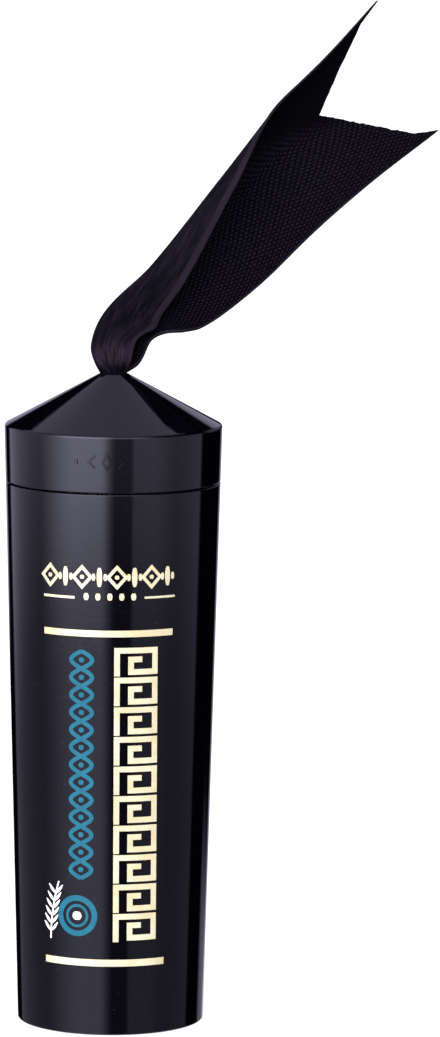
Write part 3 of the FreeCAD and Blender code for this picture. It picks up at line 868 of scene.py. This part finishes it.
def satin_face():
    """Satin's face: streaks of long warp floats in thread tone mixed with a painted sheen, with a
    paler selvedge on each side.

    Where it is gathered over the tip it is streaked with painted shade in its creases and a painted
    sheen on its ridges, and it has painted shade where it goes into the hole.
    """
    # Dark and bright colours of the streaks: thread tone, with a painted sheen in the bright one.
    shade, painted_sheen = (0.0006, 0.0004, 0.0010, 1), (0.0054, 0.0040, 0.0072, 1)
    # Painted shade for the gather's creases and a painted purple sheen for its ridges.
    painted_crease_shade, ridge = (0.005, 0.0028, 0.005, 1), (0.024, 0.0138, 0.0245, 1)
    rib_shade, rib_shine = (0.004, 0.003, 0.0045, 1), (0.015, 0.0125, 0.0155, 1)
    # Painted shade for the cloth where it goes into the hole.
    painted_hole_shade = (0.0006, 0.0004, 0.0008, 1)
    finish, place, across, along = weave("satin_face", {"Specular IOR Level": 0.05, "IOR": 1.5})
    floats = finish.noise(finish.node("ShaderNodeVectorMath", {"operation": "MULTIPLY"},
                                      {0: place, 1: (3.4, 0.35, 1)}), 1.0, 3, 0.6)
    sheen = finish.noise(finish.node("ShaderNodeVectorMath", {"operation": "MULTIPLY"},
                                     {0: place, 1: (0.5, 0.12, 1)}), 1.0, 2)
    streak = finish.rise(0.75 * floats + 0.35 * sheen, 0.38, 0.75)
    body = finish.blend(streak, shade, painted_sheen)
    # Over the tip the streaks turn towards the painted crease shade and the painted ridge sheen.
    gather = 1 - finish.rise(along, 2.0, 4.5)
    painted_gather_light = finish.blend(finish.rise(floats, 0.38, 0.62), painted_crease_shade, ridge)
    body = finish.blend(gather * 0.6, body, painted_gather_light)
    # Painted shade darkens the cloth where it goes into the hole.
    body = finish.blend(finish.rise(along, 0.4, 1.8), painted_hole_shade, body)
    from_middle = finish.maths("ABSOLUTE", across - ribbon_width / 2 / mm)
    selvedge_mask = finish.rise(from_middle, 6.7, 6.95)
    ribs = 0.5 + 0.5 * finish.maths("SINE", along * 18)
    edge_colour = finish.blend(ribs * 0.3 + floats * 0.6, rib_shade, rib_shine)
    finish.set("Base Color", finish.blend(selvedge_mask, body, edge_colour))
    finish.set("Roughness", 0.46 + 0.16 * floats)
    finish.relief(floats + 0.35 * selvedge_mask * ribs, 0.05 * mm)
    return finish


def satin_back():
    """Satin's back: short ties in staggered rows, small pale points on a dull black ground.

    Beside the fold towards the long tail, painted shade hides the ties and leaves the cloth plain
    black.
    """
    tie_pitch, tie_width = 0.48, 0.25    # mm along and across, half a period of the staggered rows
    dark, dusty = (0.0006, 0.0004, 0.0007, 1), (0.0018, 0.0013, 0.0026, 1)
    pale = (0.0135, 0.0112, 0.0162, 1)
    finish, place, across, along = weave("satin_back", {"Specular IOR Level": 0.02, "IOR": 1.5})
    wander = 0.25 * finish.noise(place, 0.8, 1)
    rows = finish.maths("COSINE", (along + 0.2 * across) * (math.pi / tie_pitch) + wander)
    points = rows * finish.maths("COSINE", across * (math.pi / tie_width) + wander)
    # 0 in the band of painted shade beside the fold towards the long tail, 1 elsewhere.
    outside_painted_shade = finish.rise(across - 0.28 * along, -7.5, -4.0)
    tie = finish.rise(points, 0.1, 0.95) * outside_painted_shade
    wear = finish.noise(place, 2.2, 2)
    ground = finish.blend(finish.rise(wear, 0.3, 0.7) * outside_painted_shade, dark, dusty)
    finish.set("Base Color", finish.blend(tie * (0.2 + 0.8 * wear), ground, pale))
    finish.set("Roughness", 0.6 + 0.2 * wear)
    finish.relief(tie, 0.05 * mm)
    return finish


face_satin, back_satin = satin_face(), satin_back()
face_satin.put_on(ribbon)
ribbon.data.materials.append(back_satin.material)
ribbon.data.polygons.foreach_set("material_index", sides)
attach(ribbon, "head")
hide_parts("ribbon")


# ---- Gather and knot ----
# In the hole the ribbon is bunched into a round rope of pleats. Under the washer it is tied in
# a tight overhand knot that can't pass the hole.


def pleated(angle, radius, height):
    """Pleats round the rope: two sets of ridges, none where the radius is nothing."""
    return (0.05 * np.cos(11 * angle) + 0.03 * np.cos(17 * angle + 1)) * mm + 0 * height


def knotted(angle, radius, height):
    """Knot: three turns of cloth that wind up round it, with fine creases across them."""
    wind = 3 * angle + height / (0.45 * mm)
    return (0.16 * np.cos(wind) + 0.04 * np.cos(4 * wind + 9 * angle)) * mm * (radius > 0.4 * mm)


def gathered_satin():
    """Bunched satin: painted shade in the creases between dull, lengthwise-streaked ridges, which
    are painted a little lighter.
    """
    # Painted shade for the creases and a lighter painted colour for the ridges.
    painted_crease_shade, ridge = (0.0006, 0.0005, 0.0008, 1), (0.003, 0.0023, 0.0035, 1)
    finish = Finish("gathered_satin", {"Specular IOR Level": 0.03})
    streaks = finish.noise(finish.millimetres((1, 1, 0.2)), 5, 3, 0.6)
    finish.set("Base Color", finish.blend(finish.rise(streaks, 0.4, 0.7), painted_crease_shade, ridge))
    finish.set("Roughness", 0.5 + 0.2 * streaks)
    finish.relief(streaks, 0.05 * mm)
    return finish


washer_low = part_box("knot_washer")[0][2]
knot_low, knot_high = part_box("ribbon_knot")
rope_radius = hole_radius - 0.14 * mm
rope_round = 0.2 * mm
knot_radius = knot_high[0] - 0.25 * mm
knot_foot = knot_low[2] + 0.05 * mm
knot_round = 1.1 * mm
rope = turned("ribbon_rope", [
    (0, washer_low),
    (rope_radius, washer_low, rope_round),
    (rope_radius, tip_height + 0.05 * mm, rope_round),
    (0.7 * mm, tip_height + 0.35 * mm, rope_round),
    (0, tip_height + 0.4 * mm),
], turns=96, relief=pleated)
knot = turned("ribbon_knot_tied", [
    (0, knot_foot),
    (knot_radius, knot_foot, knot_round),
    (knot_radius, washer_low, knot_round),
    (0, washer_low),
], turns=96, relief=knotted)
rope_satin = gathered_satin()
rope_satin.put_on(rope, knot)
for piece in (rope, knot):
    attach(piece, "head")
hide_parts("ribbon_knot")


# ---- Studio ----
# A pale table that curves up into a pale room, with soft light from both sides and above.


class Studio(Finish):
    """Node tree of the room's light, which the lacquer mirrors."""

    def __init__(self, tree):
        self.tree = tree


def room():
    """Closed pale room: floor, cove, round wall and ceiling, all facing inwards.

    From outside it is clear. Only the camera sees it: the lacquer mirrors the light panels.
    """
    floor_drop = 0.05 * mm
    wall_radius, ceiling, cove = 3.3, 3.05, 0.45
    shell = turned("room", [
        (0, ceiling),
        (wall_radius, ceiling, cove),
        (wall_radius, -floor_drop, cove),
        (0, -floor_drop),
    ], turns=128)
    finish = Finish("pale_room", {"Roughness": 1.0, "Specular IOR Level": 0.0})
    finish.set("Base Color", (0.30, 0.30, 0.30, 1))
    finish.set("Emission Color", (1, 1, 1, 1))
    finish.set("Emission Strength", 0.80)
    clear = finish.node("ShaderNodeBsdfTransparent", {}, {})
    behind = finish.node("ShaderNodeNewGeometry", {}, {}, "Backfacing")
    mixed = finish.node("ShaderNodeMixShader", {}, {
        0: behind, 1: Wire(finish, finish.shader.outputs[0]), 2: clear})
    finish.tree.links.new(mixed.socket, finish.tree.nodes["Material Output"].inputs["Surface"])
    finish.put_on(shell)
    for kind in ("diffuse", "glossy", "transmission", "volume_scatter", "shadow"):
        setattr(shell, "visible_" + kind, False)


def soft_box(studio, bearing, height, left, right, foot, top, brightness, below=0.0):
    """Light panel in the room: a patch of directions with soft edges.

    bearing and height are the direction looked in, in degrees and as a sine. Each edge is its
    place and how soft it is. below is the share of the light that the table under it shows.
    """
    edges = ((bearing, left), (bearing, right), (height, foot), (height, top))
    from_left, from_right, from_foot, from_top = (
        studio.rise(value, place - soft, place + soft) for value, (place, soft) in edges)
    upright = (below + (1 - below) * from_foot) * (1 - from_top)
    return from_left * (1 - from_right) * upright * brightness


def studio_light():
    """World light: soft boxes either side of the camera and overhead, with dark gaps between."""
    world = bpy.data.worlds.new("studio")
    world.use_nodes = True
    bpy.context.scene.world = world
    studio = Studio(world.node_tree)
    way = studio.node("ShaderNodeTexCoord", {}, {}, "Generated")
    x, y, z = (studio.node("ShaderNodeSeparateXYZ", {}, {0: way}, k) for k in range(3))
    front = studio.maths("ARCTAN2", x, 0 - y) * (180 / math.pi)
    rear = studio.maths("ARCTAN2", x, y) * (180 / math.pi)
    # The panel overhead comes down further on the left, and the table gives back some light.
    overhead = studio.rise(z - 0.2 * x, 0.635, 0.685) * 0.475
    table = (1 - studio.rise(z, -0.60, -0.38)) * 0.35
    light = overhead + table + 0.002
    for panel in (
        # Before the case, from left to right: bearings, heights and brightness.
        (front, z, (-143, 3), (-6, 8), (-0.169, 0.024), (0.45, 0.3), 0.68, 0.35),
        (front, z, (-62, 26), (-5, 9), (-0.188, 0.016), (0.80, 0.1), 2.7, 0.27),
        (front, z, (-62, 8), (40, 16), (0.10, 0.08), (0.72, 0.1), 1.6),
        (front, z, (-2, 4), (22, 4), (-0.183, 0.016), (0.25, 0.2), 0.34, 0.2),
        (front, z, (22, 3), (58, 16), (-0.186, 0.02), (0.25, 0.2), 0.45, 0.25),
        (front, z, (22, 3), (109, 3), (-0.180, 0.026), (0.25, 0.2), 0.47, 0.45),
        # Behind it, where its edges and the cone's right side mirror the light.
        (rear, z, (-20, 2), (2, 4), (-0.153, 0.012), (0.20, 0.05), 0.50),
        (rear, z, (0, 2), (18, 4), (-0.24, 0.05), (-0.05, 0.03), 0.42),
        (rear, z, (0, 2), (18, 4), (0.12, 0.03), (0.37, 0.04), 0.50),
        (rear, z, (0, 4), (40, 4), (-0.33, 0.03), (-0.205, 0.015), 0.35),
        (rear, z, (22, 5), (60, 5), (0.03, 0.03), (0.46, 0.08), 0.25),
    ):
        light += soft_box(studio, *panel)
    tint = (0.955, 0.93, 1.27)
    colour = studio.node("ShaderNodeCombineXYZ", {}, dict(enumerate(light * t for t in tint)))
    backing = studio.tree.nodes["Background"]
    studio.connect(backing.inputs["Color"], colour)
    backing.inputs["Strength"].default_value = 1.0


def lamp(name, bearing, height, strength, spread):
    """Soft lamp for the matt surfaces: the lacquer mirrors the light panels and not the lamp."""
    data = bpy.data.lights.new(name, "SUN")
    data.energy = strength
    data.angle = math.radians(spread)
    made = bpy.data.objects.new(name, data)
    made.rotation_euler = (math.radians(90 - height), 0, math.radians(bearing))
    made.visible_glossy = False
    bpy.context.collection.objects.link(made)


room()
studio_light()
lamp("key_lamp", -32, 38, 2.4, 55)
lamp("fill_lamp", 62, 30, 1.9, 70)
bpy.context.scene.view_settings.view_transform = "Standard"
